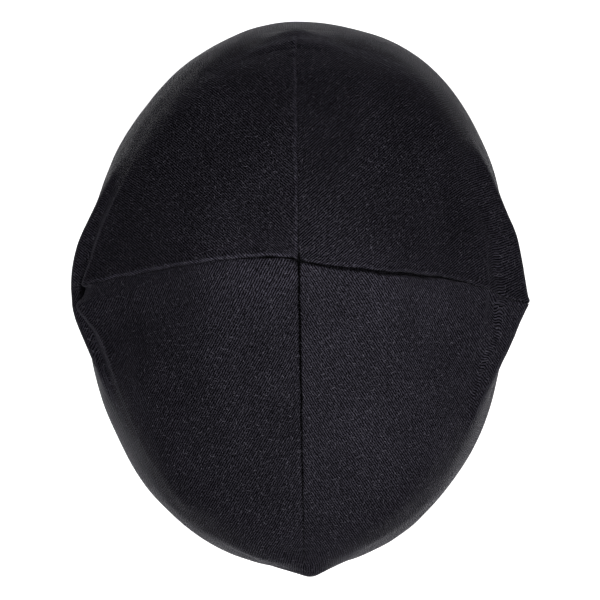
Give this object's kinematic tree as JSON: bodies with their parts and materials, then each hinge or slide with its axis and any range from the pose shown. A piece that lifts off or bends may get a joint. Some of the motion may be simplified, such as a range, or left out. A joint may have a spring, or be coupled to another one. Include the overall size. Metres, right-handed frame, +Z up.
{
  "type": "beanie",
  "caption": "Close-fitting cloth beanie with crossed crown seams, two small side ears and a turned-up hem, standing open on its rim.",
  "frame": {"origin": "on the resting plane, under the middle of the hat's box", "axes": "+Z up from the rim to the crown, +Y towards the back of the hat, -Y towards the front, +X across the hat"},
  "size_m": [0.1672, 0.205, 0.168],
  "materials": {
    "jersey": "black cotton jersey, fine knit, matt with a slight fibre haze"
  },
  "bodies": {
    "root": {"front_panel": "jersey", "back_panel": "jersey", "hem": "jersey"}
  },
  "joints": []
}
